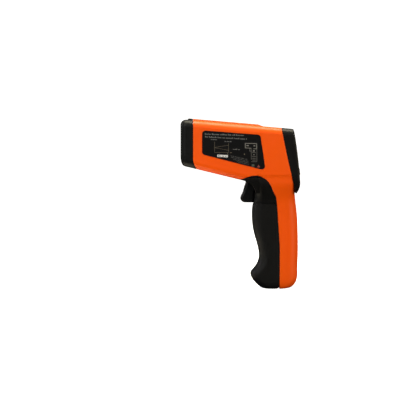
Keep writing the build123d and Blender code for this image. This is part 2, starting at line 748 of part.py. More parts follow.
with BuildPart() as battery_snap:
    with BuildSketch(battery_top.offset(0.6)):
        with Locations((BATTERY_X, 0)):
            RectangleRounded(25.0, 14.0, 2.0)
            with Locations((-6.4, 0), (6.4, 0)):
                Circle(4.2, mode=Mode.SUBTRACT)
    extrude(amount=1.9)
    with BuildSketch(battery_top.offset(2.45)):
        with Locations((BATTERY_X, 0)):
            RectangleRounded(25.0, 14.0, 2.0)
    extrude(amount=1.8)
write(battery_snap.part, "battery_snap")

# ---------------------------------------------------------------- leads, buzzer, spring, screws and labels

lead_start = BATTERY_Z + BATTERY[2] + 4.3
for name, side in (("positive", 1), ("negative", -1)):
    lead = wire(
        [
            (33.0, side * 3.0, lead_start),
            (33.0, side * 3.0, lead_start + 2.6),
            (LEAD_X, side * LEAD_Y, lead_start + 5.0),
            (LEAD_X, side * LEAD_Y, 92.0),
            (30.0, side * 2.0, 101.9),
            (35.2, side * 2.0, 101.9),
        ],
        0.65,
        1.6,
    )
    write(lead, f"battery_lead_{name}")

sensor_end = NOSE_X + SENSOR_BOARD_DEPTH + SENSOR_BOARD_T + 0.05
sensor_leads = [
    wire(
        [
            (sensor_end, y, optic_mid),
            (-20.0, y, optic_mid),
            (-2.0, y - 6.0, 118.0),
            (24.0, 1.2 * y - 9.5, 107.0),
            (34.6, 1.2 * y - 9.5, 106.8),
        ],
        0.4,
        4.0,
    )
    for y in (-1.8, -0.6, 0.6, 1.8)
]
write(joined(*sensor_leads), "sensor_leads")

laser_end = NOSE_X + NOSE_WALL + LASER_LENGTH + LASER_TAIL + 0.15
laser_leads = []
for y in (-0.8, 0.8):
    upper_path = [
        (laser_end, y, laser_heights[0]),
        (-27.4, y, laser_heights[0]),
        (-20.0, y + 4.0, 129.4),
        (4.0, y + 8.0, 122.0),
        (25.0, y + 11.4, 107.0),
        (34.6, y + 11.4, 106.8),
    ]
    lower_path = [
        (laser_end, y, laser_heights[1]),
        (-24.0, y, laser_heights[1]),
        (-6.0, y + 5.0, 116.4),
        (22.0, y + 7.6, 107.0),
        (34.6, y + 7.6, 106.8),
    ]
    laser_leads += [wire(upper_path, 0.4, 2.0), wire(lower_path, 0.4, 3.0)]
write(joined(*laser_leads), "laser_leads")

write(cross_rod(2.0, 108.6, 5.6, 13.0, 17.2), "buzzer")

with BuildPart() as trigger_spring:
    coil_start = (PIVOT[0], -7.0, PIVOT[1])
    spring_line = Helix(pitch=0.75, height=2.8, radius=2.3, center=coil_start, direction=(0, -1, 0))
    with BuildSketch(Plane(origin=spring_line @ 0, z_dir=spring_line % 0)):
        Circle(0.3)
    sweep(path=spring_line)
write(trigger_spring.part, "trigger_spring")

housing_screws = []
for x, z in SCREWS:
    screw = joined(
        cross_rod(x, z, SCREW_R - 0.02, SCREW_HEAD_Y - SCREW_LENGTH, SCREW_HEAD_Y + 0.03),
        cross_rod(x, z, SCREW_HEAD_R, SCREW_HEAD_Y + 0.03, SCREW_HEAD_Y + 1.6),
    )
    drive = joined(
        box_between((x - 0.3, SCREW_HEAD_Y + 0.7, z - 1.5), (x + 0.3, SCREW_HEAD_Y + 2, z + 1.5)),
        box_between((x - 1.5, SCREW_HEAD_Y + 0.7, z - 0.3), (x + 1.5, SCREW_HEAD_Y + 2, z + 0.3)),
    )
    housing_screws.append(without(screw, drive))
write(joined(*housing_screws), "housing_screws")

for name, side, shrink in (("left", -1, 0.0), ("right", 1, LABEL_SHRINK)):
    outer_face = side * (HEAD_HALF - LABEL_DEPTH + LABEL_T)
    inner_face = side * (HEAD_HALF - LABEL_DEPTH + 0.01)
    write(label_block(shrink + 0.12, inner_face, outer_face), f"label_{name}")
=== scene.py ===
"""Looks of the pistol-shaped infrared thermometer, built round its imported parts. Lengths are in metres."""

import math
import random

import bmesh
import bpy
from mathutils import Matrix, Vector


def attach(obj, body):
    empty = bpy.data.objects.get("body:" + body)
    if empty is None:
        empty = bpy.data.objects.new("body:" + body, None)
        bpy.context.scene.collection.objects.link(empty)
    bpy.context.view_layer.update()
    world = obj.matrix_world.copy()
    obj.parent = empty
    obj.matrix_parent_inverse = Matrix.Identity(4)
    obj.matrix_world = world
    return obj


MM = 0.001

LENS_CENTRE = (-47.6 * MM, 0.0, 125.8 * MM)
LENS_RINGS = 2600.0  # moulded rings in a metre
BATTERY_MIDDLE = 34.2 * MM
BATTERY_RIM = 22.5 * MM  # from the battery's middle to where its bare rims start
COPPER_FROM = 40.0 * MM

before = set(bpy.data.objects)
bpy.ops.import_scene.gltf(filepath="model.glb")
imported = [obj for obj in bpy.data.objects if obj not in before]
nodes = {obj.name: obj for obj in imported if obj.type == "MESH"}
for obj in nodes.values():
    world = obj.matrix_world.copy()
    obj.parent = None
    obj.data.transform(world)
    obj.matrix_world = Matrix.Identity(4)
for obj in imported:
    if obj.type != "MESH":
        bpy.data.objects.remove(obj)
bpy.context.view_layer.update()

# ---------------------------------------------------------------- material helpers


class Shader:
    """A node material under construction, with short ways to add and join nodes."""

    def __init__(self, name):
        self.material = bpy.data.materials.new(name)
        self.material.use_nodes = True
        self.tree = self.material.node_tree
        self.tree.nodes.clear()
        self.surface = self.add("ShaderNodeBsdfPrincipled")
        output = self.add("ShaderNodeOutputMaterial")
        self.join(self.surface.outputs[0], output.inputs["Surface"])
        self.place = self.add("ShaderNodeTexCoord").outputs["Object"]

    def add(self, kind, **settings):
        node = self.tree.nodes.new(kind)
        for key, value in settings.items():
            setattr(node, key, value)
        return node

    def join(self, source, target):
        self.tree.links.new(source, target)

    def put(self, socket, value):
        """Links an output to a socket, or sets a constant on it."""
        if isinstance(value, bpy.types.NodeSocket):
            self.join(value, socket)
        else:
            socket.default_value = value

    def noise(self, scale, detail=3.0, roughness=0.5):
        node = self.add("ShaderNodeTexNoise")
        self.join(self.place, node.inputs["Vector"])
        node.inputs["Scale"].default_value = scale
        node.inputs["Detail"].default_value = detail
        node.inputs["Roughness"].default_value = roughness
        return node.outputs["Fac"]

    def cells(self, scale):
        node = self.add("ShaderNodeTexVoronoi")
        self.join(self.place, node.inputs["Vector"])
        node.inputs["Scale"].default_value = scale
        return node.outputs["Distance"]

    def spread(self, value, from_low, from_high, to_low, to_high):
        """Maps one range of values to another, clamped at its ends."""
        node = self.add("ShaderNodeMapRange")
        self.join(value, node.inputs["Value"])
        node.inputs["From Min"].default_value = from_low
        node.inputs["From Max"].default_value = from_high
        node.inputs["To Min"].default_value = to_low
        node.inputs["To Max"].default_value = to_high
        return node.outputs["Result"]

    def calc(self, operation, first, second=0.0):
        node = self.add("ShaderNodeMath", operation=operation)
        self.put(node.inputs[0], first)
        self.put(node.inputs[1], second)
        return node.outputs[0]

    def mix(self, amount, first, second):
        node = self.add("ShaderNodeMix", data_type="RGBA", blend_type="MIX")
        self.put(node.inputs["Factor"], amount)
        self.put(node.inputs["A"], first)
        self.put(node.inputs["B"], second)
        return node.outputs["Result"]

    def rounded(self, radius):
        """Shading normal that rounds off every edge by radius."""
        node = self.add("ShaderNodeBevel", samples=6)
        node.inputs["Radius"].default_value = radius
        return node.outputs["Normal"]

    def edges(self, radius):
        """1 along sharp edges and 0 on flats."""
        bevel = self.rounded(radius)
        flat = self.add("ShaderNodeNewGeometry").outputs["Normal"]
        node = self.add("ShaderNodeVectorMath", operation="DOT_PRODUCT")
        self.join(bevel, node.inputs[0])
        self.join(flat, node.inputs[1])
        return self.spread(node.outputs["Value"], 0.995, 0.86, 0.0, 1.0)

    def bump(self, height, depth, normal=None):
        """Relief of a given depth, over another shading normal if there is one."""
        node = self.add("ShaderNodeBump")
        node.inputs["Distance"].default_value = depth
        node.inputs["Strength"].default_value = 1.0
        self.join(height, node.inputs["Height"])
        if normal is not None:
            self.join(normal, node.inputs["Normal"])
        return node.outputs["Normal"]

    def finish(self, **sockets):
        """Sets the surface shader's sockets, named with _ for a space, and gives the material."""
        for key, value in sockets.items():
            self.put(self.surface.inputs[key.replace("_", " ")], value)
        return self.material


def linear(value):
    """Screen value from 0 to 255, made linear."""
    share = value / 255
    return share / 12.92 if value <= 10 else ((share + 0.055) / 1.055) ** 2.4


def rgb(red, green, blue):
    """Linear colour from screen values."""
    return (linear(red), linear(green), linear(blue), 1.0)


def moulded_plastic(name, colour, roughness, grain, gloss=0.16, soften=0.4 * MM):
    """Injection-moulded plastic with a spark-eroded grain, handling marks and slightly polished edges.

    The colour is a pair, plain and worn, and the grain is a pair, its scale and its depth.
    """
    s = Shader(name)
    plain, worn = colour
    grain_scale, grain_depth = grain
    drift = s.spread(s.noise(28.0, 4.0), 0.3, 0.7, 0.0, 1.0)
    smears = s.spread(s.noise(95.0, 6.0, 0.65), 0.42, 0.68, 0.0, 1.0)
    edge = s.edges(0.7 * MM)
    rubbed = s.calc("MULTIPLY", edge, s.spread(s.noise(420.0, 5.0, 0.7), 0.45, 0.7, 0.0, 0.55))
    base = s.mix(s.calc("MULTIPLY", drift, 0.10), plain, worn)
    tint = s.mix(rubbed, base, worn)
    rough = s.spread(smears, 0.0, 1.0, roughness - 0.05, roughness + 0.06)
    rough = s.calc("SUBTRACT", rough, s.calc("MULTIPLY", edge, 0.08))
    pits = s.calc("MULTIPLY", s.cells(grain_scale * 0.8), 0.6)
    relief = s.calc("ADD", s.noise(grain_scale, 2.0), pits)
    normal = s.bump(relief, grain_depth, s.rounded(soften))
    return s.finish(Base_Color=tint, Roughness=rough, Normal=normal, Specular_IOR_Level=gloss)


def metal(name, colour, roughness):
    """Plated or turned metal with fine streaks and a little tarnish."""
    s = Shader(name)
    streaks = s.spread(s.noise(900.0, 3.0, 0.7), 0.35, 0.65, roughness - 0.07, roughness + 0.08)
    tarnish = s.spread(s.noise(220.0, 5.0), 0.45, 0.75, 0.0, 0.4)
    dull = tuple(0.55 * c for c in colour[:3]) + (1.0,)
    tint = s.mix(tarnish, colour, dull)
    normal = s.bump(s.noise(1800.0, 2.0), 0.004 * MM, s.rounded(0.15 * MM))
    return s.finish(Base_Color=tint, Metallic=1.0, Roughness=streaks, Normal=normal)


def rubber(name, colour, roughness):
    """Soft silicone or cable insulation with a dusty bloom."""
    s = Shader(name)
    bloom = s.spread(s.noise(160.0, 5.0, 0.6), 0.4, 0.75, 0.0, 0.25)
    pale = tuple(min(1.0, 1.6 * c + 0.03) for c in colour[:3]) + (1.0,)
    tint = s.mix(bloom, colour, pale)
    rough = s.spread(s.noise(300.0, 3.0), 0.3, 0.7, roughness - 0.08, roughness + 0.08)
    normal = s.bump(s.noise(4000.0, 2.0), 0.008 * MM, s.rounded(0.3 * MM))
    return s.finish(Base_Color=tint, Roughness=rough, Normal=normal)


def clear_sheet(name, tint):
    """Clear moulded window with faint scratches."""
    s = Shader(name)
    scuffs = s.spread(s.noise(900.0, 6.0, 0.75), 0.58, 0.72, 0.03, 0.21)
    normal = s.bump(s.noise(60.0, 2.0), 0.01 * MM)
    return s.finish(
        Base_Color=tint,
        Roughness=scuffs,
        Normal=normal,
        Transmission_Weight=1.0,
        IOR=1.49,
        Coat_Weight=0.3,
    )


def printed_film(name, colour):
    """Black printed polyester film with a soft sheen and light scuffing."""
    s = Shader(name)
    scuffs = s.spread(s.noise(700.0, 6.0, 0.8), 0.55, 0.78, 0.0, 1.0)
    rough = s.spread(scuffs, 0.0, 1.0, 0.36, 0.52)
    tint = s.mix(s.calc("MULTIPLY", scuffs, 0.12), colour, (0.03, 0.03, 0.033, 1.0))
    normal = s.bump(s.noise(2600.0, 2.0), 0.006 * MM, s.rounded(0.1 * MM))
    return s.finish(Base_Color=tint, Roughness=rough, Normal=normal, Specular_IOR_Level=0.2)


def ink(name, colour, cover, unevenness=0.25):
    """Screen-printed ink, a little uneven, with the dark ground showing through where it is thin."""
    s = Shader(name)
    patchy = s.spread(s.noise(1800.0, 4.0, 0.7), 0.3, 0.6, cover - unevenness, cover)
    tint = s.mix(patchy, (0.012, 0.012, 0.013, 1.0), colour)
    normal = s.bump(s.noise(5000.0, 2.0), 0.004 * MM)
    return s.finish(Base_Color=tint, Roughness=0.5, Normal=normal)


def dark_lens(name):
    """Infrared lens: nearly black and glossy, with moulded rings."""
    s = Shader(name)
    from_centre = s.add("ShaderNodeVectorMath", operation="SUBTRACT")
    s.join(s.place, from_centre.inputs[0])
    from_centre.inputs[1].default_value = LENS_CENTRE
    across = s.add("ShaderNodeVectorMath", operation="MULTIPLY")
    s.join(from_centre.outputs[0], across.inputs[0])
    across.inputs[1].default_value = (0.0, 1.0, 1.0)
    reach = s.add("ShaderNodeVectorMath", operation="LENGTH")
    s.join(across.outputs[0], reach.inputs[0])
    rings = s.calc("FRACT", s.calc("MULTIPLY", reach.outputs["Value"], LENS_RINGS))
    normal = s.bump(rings, 0.03 * MM)
    rough = s.spread(s.noise(500.0, 4.0), 0.35, 0.7, 0.10, 0.20)
    return s.finish(
        Base_Color=(0.035, 0.028, 0.035, 1.0),
        Roughness=rough,
        Normal=normal,
        Coat_Weight=0.6,
        Coat_Roughness=0.05,
    )


def circuit_board(name):
    """Green solder mask over faint copper tracks."""
    s = Shader(name)
    tracks = s.add("ShaderNodeTexBrick")
    s.join(s.place, tracks.inputs["Vector"])
    tracks.inputs["Scale"].default_value = 420.0
    tracks.inputs["Mortar Size"].default_value = 0.03
    tracks.inputs["Color1"].default_value = (0.012, 0.09, 0.035, 1.0)
    tracks.inputs["Color2"].default_value = (0.014, 0.11, 0.045, 1.0)
    tracks.inputs["Mortar"].default_value = (0.05, 0.22, 0.09, 1.0)
    rough = s.spread(s.noise(600.0, 3.0), 0.3, 0.7, 0.22, 0.4)
    normal = s.bump(tracks.outputs["Fac"], 0.02 * MM)
    return s.finish(Base_Color=tracks.outputs["Color"], Roughness=rough, Normal=normal)


def printed_can(name):
    """Steel battery can with a dark band, a copper band and a bare rim at each end."""
    dark_band, copper_band, bare_rim = rgb(24, 25, 30), (0.55, 0.27, 0.13, 1.0), (0.55, 0.54, 0.52, 1.0)
    s = Shader(name)
    split = s.add("ShaderNodeSeparateXYZ")
    s.join(s.place, split.inputs[0])
    high = split.outputs["Z"]
    from_middle = s.calc("ABSOLUTE", s.calc("SUBTRACT", high, BATTERY_MIDDLE))
    rim = s.calc("GREATER_THAN", from_middle, BATTERY_RIM)
    copper = s.calc("GREATER_THAN", high, COPPER_FROM)
    scuffs = s.spread(s.noise(700.0, 6.0, 0.8), 0.5, 0.8, 0.0, 0.5)
    bands = s.mix(copper, dark_band, copper_band)
    tint = s.mix(rim, s.mix(scuffs, bands, rgb(120, 116, 110)), bare_rim)
    shine = s.calc("MAXIMUM", rim, s.calc("MULTIPLY", copper, 0.85))
    rough = s.spread(scuffs, 0.0, 0.5, 0.3, 0.48)
    return s.finish(Base_Color=tint, Metallic=shine, Roughness=rough, Normal=s.rounded(0.2 * MM))


WORN_BLACK = rgb(30, 30, 29)
ORANGE = (rgb(247, 85, 0), rgb(250, 114, 22))
BLACK = (rgb(7, 7, 7), WORN_BLACK)
GRIP_BLACK = (rgb(6, 6, 6), WORN_BLACK)
DARK_GREY = (rgb(30, 30, 31), WORN_BLACK)

orange_plastic = moulded_plastic(
    "orange_plastic", ORANGE, 0.42, (2400.0, 0.018 * MM), gloss=0.20, soften=1.2 * MM
)
black_plastic = moulded_plastic("black_plastic", BLACK, 0.46, (2400.0, 0.02 * MM))
grip_plastic = moulded_plastic("grip_plastic", GRIP_BLACK, 0.55, (1500.0, 0.045 * MM))
trigger_plastic = moulded_plastic("trigger_plastic", GRIP_BLACK, 0.40, (3000.0, 0.012 * MM))
dark_plastic = moulded_plastic("dark_plastic", DARK_GREY, 0.5, (2400.0, 0.015 * MM))
key_rubber = rubber("key_rubber", rgb(62, 62, 64), 0.55)
black_rubber = rubber("black_rubber", rgb(32, 32, 32), 0.62)
red_wire = rubber("red_wire", rgb(170, 24, 20), 0.45)
steel = metal("steel", (0.58, 0.57, 0.55, 1.0), 0.3)
brass = metal("brass", (0.65, 0.45, 0.18, 1.0), 0.3)
dark_metal = metal("dark_metal", (0.12, 0.12, 0.125, 1.0), 0.32)
label_film = printed_film("label_film", rgb(6, 6, 7))
window_clear = clear_sheet("window_clear", (0.92, 0.94, 0.94, 1.0))
window_ruby = clear_sheet("window_ruby", (0.34, 0.015, 0.02, 1.0))
lens_black = dark_lens("lens_black")
board_green = circuit_board("board_green")
battery_can = printed_can("battery_can")
milky = rubber("milky", rgb(214, 218, 212), 0.4)
lcd_grey = printed_film("lcd_grey", rgb(150, 160, 142))

FINISHES = {
    orange_plastic: ["left_housing", "right_housing"],
    black_plastic: ["nose_bezel", "rear_bezel", "trigger_surround"],
    grip_plastic: ["battery_door"],
    trigger_plastic: ["trigger"],
    dark_plastic: [
        "lens_barrel",
        "laser_bracket",
        "trigger_switch",
        "battery_snap",
        "board_components",
        "buzzer",
    ],
    key_rubber: ["button_down", "button_mode", "button_up"],
    black_rubber: ["keypad", "zebra_strips", "battery_lead_negative", "sensor_leads"],
    red_wire: ["battery_lead_positive", "laser_leads"],
    steel: [
        "trigger_pin",
        "trigger_spring",
        "hinge_pin",
        "battery_terminals",
        "thermopile_sensor",
        "housing_screws",
    ],
    brass: ["upper_laser", "lower_laser"],
    dark_metal: ["aperture_ring"],
    label_film: ["label_left", "label_right"],
    window_clear: ["display_window"],
    window_ruby: ["laser_windows"],
    lens_black: ["ir_lens"],
    board_green: ["main_board", "sensor_board", "switch_board"],
    battery_can: ["battery"],
    milky: ["lcd_backlight"],
    lcd_grey: ["lcd_glass"],
}
for finish, names in FINISHES.items():
    for name in names:
        piece = nodes[name]
        piece.data.materials.clear()
        piece.data.materials.append(finish)
        for polygon in piece.data.polygons:
            polygon.material_index = 0

# ---------------------------------------------------------------- flat shapes

# A shape is a list of (u, v) corners in millimetres. A function for the face that it lies on turns them into
# points in metres. On the sides of the body u is X and v is Z.


def new_piece(name, work, material, body):
    """Object made from a finished bmesh, which rides a body."""
    mesh = bpy.data.meshes.new(name)
    work.to_mesh(mesh)
    work.free()
    mesh.materials.append(material)
    piece = bpy.data.objects.new(name, mesh)
    bpy.context.scene.collection.objects.link(piece)
    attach(piece, body)


def flat_piece(name, shapes, to_space, material, body):
    """One mesh of flat shapes, whose corners to_space turns into places."""
    work = bmesh.new()
    for shape in shapes:
        work.faces.new([work.verts.new(to_space(u, v)) for u, v in shape])
    new_piece(name, work, material, body)


def bar(u, v, width, height, slope=0.0):
    """A small rectangle whose long sides follow a slope."""
    rise = slope * width
    return [(u, v), (u + width, v + rise), (u + width, v + rise + height), (u, v + height)]


# Widths, heights and gaps are shares of the print's height.
BLOCK_WIDTHS = (0.34, 0.46, 0.46, 0.58)
BLOCK_HEIGHTS = (0.62, 0.62, 0.62, 0.95)
BLOCK_GAP, WORD_GAP = 0.2, 0.5
WORD_LENGTHS = (3, 8)  # fewest and most blocks in a word


def line_of_print(rng, start, end, height):
    """A row of words made of plain blocks, some low and some tall, that stands for fine print."""
    (u, v), (u_end, v_end) = start, end
    slope = (v_end - v) / (u_end - u)
    shapes = []
    while u < u_end - WORD_GAP * height:
        for _ in range(rng.randint(*WORD_LENGTHS)):
            wide = height * rng.choice(BLOCK_WIDTHS)
            tall = height * rng.choice(BLOCK_HEIGHTS)
            if u + wide > u_end:
                break
            shapes.append(bar(u, v, wide, tall, slope))
            step = wide + BLOCK_GAP * height
            u += step
            v += slope * step
        u += WORD_GAP * height
        v += slope * WORD_GAP * height
    return shapes


RING_STEPS = 28


def ring(u, v, outer, inner):
    """A ring of four-sided shapes round (u, v)."""

    def on_circle(radius, step):
        turn = 2 * math.pi * step / RING_STEPS
        return (u + radius * math.cos(turn), v + radius * math.sin(turn))

    return [
        [on_circle(outer, i), on_circle(outer, i + 1), on_circle(inner, i + 1), on_circle(inner, i)]
        for i in range(RING_STEPS)
    ]


# ---------------------------------------------------------------- label graphics

TITLE_START = (-30.6, 132.2)
FINE_PRINT_TOP, FINE_PRINT_PITCH, FINE_PRINT_SLOPE = 114.0, 1.3, -0.23
FINE_PRINT_ROWS = ((-8.6, 5.8), (-8.4, 6.6), (-6.4, 7.0), (-3.4, 7.0))
FINE_PRINT_LEFT = -8.4

rng = random.Random(11)
title_print = line_of_print(rng, TITLE_START, (3.6, 131.0), 1.35)
title_print += line_of_print(rng, (-30.4, 129.9), (5.6, 127.9), 1.25)
grey_print = line_of_print(rng, (-25.6, 127.8), (-19.4, 127.5), 0.95)
grey_print += line_of_print(rng, (-13.8, 126.1), (-7.6, 125.8), 0.95)
grey_print += line_of_print(rng, (-6.8, 119.4), (-0.4, 119.1), 0.95)
fine_print = []
for row, ends in enumerate(FINE_PRINT_ROWS):
    high = FINE_PRINT_TOP - FINE_PRINT_PITCH * row
    start, end = [(u, high + FINE_PRINT_SLOPE * (u - FINE_PRINT_LEFT)) for u in ends]
    fine_print += line_of_print(rng, start, end, 0.75)

# Two posts on a base line, with the edges of a cone between them
diagram = [
    bar(-22.4, 116.9, 0.22, 9.2),
    bar(-10.5, 116.9, 0.22, 8.0),
    bar(-22.4, 116.9, 12.1, 0.22),
    bar(-11.4, 115.8, 0.22, 1.1),
    bar(-9.3, 116.6, 1.6, 0.5),
    bar(2.6, 115.2, 0.9, 0.9),
    [(-22.3, 121.0), (-10.4, 118.8), (-10.4, 119.0), (-22.3, 121.2)],
    [(-22.3, 121.2), (-10.4, 123.2), (-10.4, 123.4), (-22.3, 121.4)],
]

# Outline of a meter: its head, and its grip with keys
icon = [
    bar(3.5, 124.6, 10.0, 0.55, -0.03),
    bar(3.5, 121.0, 0.55, 3.7),
    bar(13.2, 120.2, 0.6, 4.2),
    bar(3.5, 120.7, 5.6, 0.55, -0.06),
    bar(10.6, 119.9, 2.7, 0.5),
    bar(4.8, 122.5, 2.0, 0.9, -0.03),
    bar(10.8, 122.2, 1.5, 1.0),
    bar(10.3, 117.9, 1.5, 1.0),
    bar(10.6, 114.9, 1.0, 0.7),
]
icon_grip = [
    bar(8.7, 110.9, 0.4, 9.2),
    bar(13.4, 109.2, 0.4, 10.8),
    bar(8.9, 109.0, 4.7, 0.4),
    bar(7.4, 118.4, 0.45, 1.9),
    bar(7.4, 118.0, 1.4, 0.45),
    bar(9.6, 116.7, 3.2, 0.5),
    bar(9.6, 113.5, 3.2, 0.5),
    bar(9.8, 111.9, 2.8, 0.5),
    bar(9.8, 110.4, 2.8, 0.5),
]
white_tag = [bar(-20.0, 113.3, 9.0, 1.9, -0.04)]
tag_print = line_of_print(rng, (-19.2, 113.7), (-11.6, 113.45), 1.1)
green_mark = [bar(9.2, 105.0, 2.4, 1.9), bar(9.6, 105.5, 1.6, 0.25)]
red_mark = [[(13.6, 104.3), (16.6, 104.3), (15.1, 106.7)]]

grey_ink = ink("grey_ink", rgb(150, 152, 150), 0.55)
faint_ink = ink("faint_ink", rgb(128, 130, 128), 0.42)
line_ink = ink("line_ink", rgb(140, 128, 104), 0.55)
icon_ink = ink("icon_ink", rgb(158, 156, 148), 0.6)
grip_ink = ink("grip_ink", rgb(132, 130, 124), 0.45)
white_ink = ink("white_ink", rgb(235, 235, 235), 0.97)
tag_ink = ink("tag_ink", rgb(40, 40, 44), 0.9)
green_ink = ink("green_ink", rgb(96, 110, 96), 0.6)
red_ink = ink("red_ink", rgb(150, 70, 62), 0.8)

LABEL_FACE = 21.15 * MM
PRINT_LIFT, TAG_LIFT = 0.012 * MM, 0.018 * MM
RIGHT_SCALE = 0.76
RIGHT_FIXED_X = -6.0  # stays where it is when the graphics shrink
LEFT_MIDDLE_Z, RIGHT_MIDDLE_Z = 119.6, 119.3
RIGHT_TITLE_X, RIGHT_TITLE_Z = 11.2, 127.9
RIGHT_TITLE_SHEAR = 0.11  # turns the title from the left label's slope to the right label's


def on_left(lift):
    """Places label graphics just above the left label."""
    return lambda u, v: (u * MM, -(LABEL_FACE + lift), v * MM)


def on_right(lift):
    """Places the same graphics, smaller, just above the right label."""

    def place(u, v):
        x = RIGHT_FIXED_X + RIGHT_SCALE * (u - RIGHT_FIXED_X)
        z = RIGHT_MIDDLE_Z + RIGHT_SCALE * (v - LEFT_MIDDLE_Z)
        return (x * MM, LABEL_FACE + lift, z * MM)

    return place


def title_on_right(lift):
    """Places the title lines on the right label, running from the display towards the nose."""

    def place(u, v):
        along, up = u - TITLE_START[0], v - TITLE_START[1]
        x = RIGHT_TITLE_X - RIGHT_SCALE * along
        z = RIGHT_TITLE_Z + RIGHT_SCALE * (up + RIGHT_TITLE_SHEAR * along)
        return (x * MM, LABEL_FACE + lift, z * MM)

    return place


PRINTS = {
    "print": (grey_print, grey_ink),
    "fine_print": (fine_print, faint_ink),
    "diagram": (diagram, line_ink),
    "icon": (icon, icon_ink),
    "icon_grip": (icon_grip, grip_ink),
    "tag": (white_tag, white_ink),
    "green_mark": (green_mark, green_ink),
    "red_mark": (red_mark, red_ink),
}
for side, place, title_place in (("left", on_left, on_left), ("right", on_right, title_on_right)):
    for name, (shapes, colour) in PRINTS.items():
        flat_piece(f"{side}_label_{name}", shapes, place(PRINT_LIFT), colour, "housing")
    flat_piece(f"{side}_label_title", title_print, title_place(PRINT_LIFT), grey_ink, "housing")
    flat_piece(f"{side}_label_tag_print", tag_print, place(TAG_LIFT), tag_ink, "housing")

# ---------------------------------------------------------------- a tongue behind the grip's seam, and dark pieces that stand in for the shade behind other seams

# The line of the grip's back, as (Z, X)
GRIP_BACK = [
    (3.6, 46.3),
    (6.0, 47.8),
    (9.5, 48.8),
    (28.0, 49.4),
    (37.0, 49.5),
    (48.0, 49.3),
    (60.0, 48.8),
    (70.0, 47.8),
    (76.0, 47.0),
    (82.0, 46.4),
]
TONGUE_DEPTH, TONGUE_HALF = 1.1, 0.3  # how far inside the back it lies, and half its width
NOSE_SEAM_SHADE_X, NOSE_SEAM_SHADE_WIDTH = -41.0, 0.6
NOSE_SEAM_SHADE_Y = 19.8  # in the middle of the side wall
# Dark blocks behind the door's top corners, painted shade where the gap would show through.
DOOR_SHADE_LOW, DOOR_SHADE_HIGH = 71.2, 75.0
DOOR_SHADE_BLOCKS = (((28.4, 33.0), (12.9, 13.3)), ((31.4, 33.0), (13.2, 13.7)))  # plate and foot, as X, Y


def inside_back_wall(u, v):
    """Places a shape across the body in the middle of the grip's back wall."""
    for (low, back_low), (high, back_high) in zip(GRIP_BACK, GRIP_BACK[1:]):
        if low <= v <= high:
            back = back_low + (back_high - back_low) * (v - low) / (high - low)
    return ((back - TONGUE_DEPTH) * MM, u * MM, v * MM)


tongue = [
    [(-TONGUE_HALF, low), (TONGUE_HALF, low), (TONGUE_HALF, high), (-TONGUE_HALF, high)]
    for (low, _), (high, _) in zip(GRIP_BACK, GRIP_BACK[1:])
]
flat_piece("seam_tongue", tongue, inside_back_wall, orange_plastic, "housing")


def at_y(y):
    """Places a shape on an upright plane along the body."""
    return lambda u, v: (u * MM, y * MM, v * MM)


def nose_seam_shade_strip(low, height):
    """Dark strip behind the seam between the nose and the housing, painted shade where the seam would show
    through.
    """
    return bar(NOSE_SEAM_SHADE_X, low, NOSE_SEAM_SHADE_WIDTH, height)


# Dark sheets at the nose's seams, painted shade: where the seam would show through, they show dark instead.
nose_shade_sides = [nose_seam_shade_strip(107.0, 34.0)]
nose_shade_ends = [nose_seam_shade_strip(142.4, 1.8), nose_seam_shade_strip(103.7, 1.7)]
for name, y, shapes in (
    ("left", -NOSE_SEAM_SHADE_Y, nose_shade_sides),
    ("middle", 0.0, nose_shade_ends),
    ("right", NOSE_SEAM_SHADE_Y, nose_shade_sides),
):
    flat_piece(f"nose_seam_shade_{name}", shapes, at_y(y), black_plastic, "housing")


def add_box(work, low, high):
    """Adds a closed box between two corners, in millimetres."""
    for vert in bmesh.ops.create_cube(work, size=1.0)["verts"]:
        vert.co = [(a + (c + 0.5) * (b - a)) * MM for a, b, c in zip(low, high, vert.co)]


def door_gap_shade(name, side):
    """Dark block behind the door's top corner, painted shade where the gap would show through: side is -1 for
    the left and 1 for the right.
    """
    work = bmesh.new()
    for (x_low, x_high), (y_low, y_high) in DOOR_SHADE_BLOCKS:
        near, far = sorted((side * y_low, side * y_high))
        add_box(work, (x_low, near, DOOR_SHADE_LOW), (x_high, far, DOOR_SHADE_HIGH))
    new_piece(name, work, black_plastic, "housing")


# Painted shade: dark blocks where the door's gap would show through.
door_gap_shade("left_door_gap_shade", -1)
door_gap_shade("right_door_gap_shade", 1)

# ---------------------------------------------------------------- battery marks

MARKS_X = 19.48  # just in front of the battery's front face


def on_battery(u, v):
    """Places marks on the battery's front face."""
    return (MARKS_X * MM, u * MM, v * MM)


battery_marks = [
    bar(-6.6, 52.0, 3.2, 0.8),
    bar(-5.4, 50.8, 0.8, 1.2),
    bar(-5.4, 52.8, 0.8, 1.2),
    bar(3.4, 52.0, 3.2, 0.8),
    bar(-6.4, 16.0, 12.8, 0.5),
    bar(-6.4, 37.0, 12.8, 0.5),
]
battery_marks += ring(0.0, 28.0, 4.4, 3.8)
flat_piece("battery_marks", battery_marks, on_battery, white_ink, "housing")

# ---------------------------------------------------------------- display graphics

TILT = math.radians(6.5)
FACE_ORIGIN = Vector((48.4, 0.0, 113.5)) * MM
FACE_OUT = Vector((math.cos(TILT), 0.0, math.sin(TILT)))
FACE_UP = Vector((-math.sin(TILT), 0.0, math.cos(TILT)))
FACE_ACROSS = Vector((0.0, 1.0, 0.0))
LCD_DEPTH = 3.46  # just in front of the glass, behind the window
KEY_PROUD = 0.915  # just above the keys' tops


def on_display(depth):
    """Places graphics depth behind the display face, u across it and v up it."""

    def place(u, v):
        return FACE_ORIGIN + FACE_ACROSS * u * MM + FACE_UP * v * MM - FACE_OUT * depth * MM

    return place


SEGMENTS = {"2": "abged", "3": "abgcd", "4": "fgbc", "5": "afgcd", "6": "afgedc", "8": "abcdefg"}
SEGMENT_GAP = 0.12
BIG_DIGIT = (5.0, 9.2, 1.15)  # width, height and bar thickness
SMALL_DIGIT = (1.9, 3.2, 0.45)


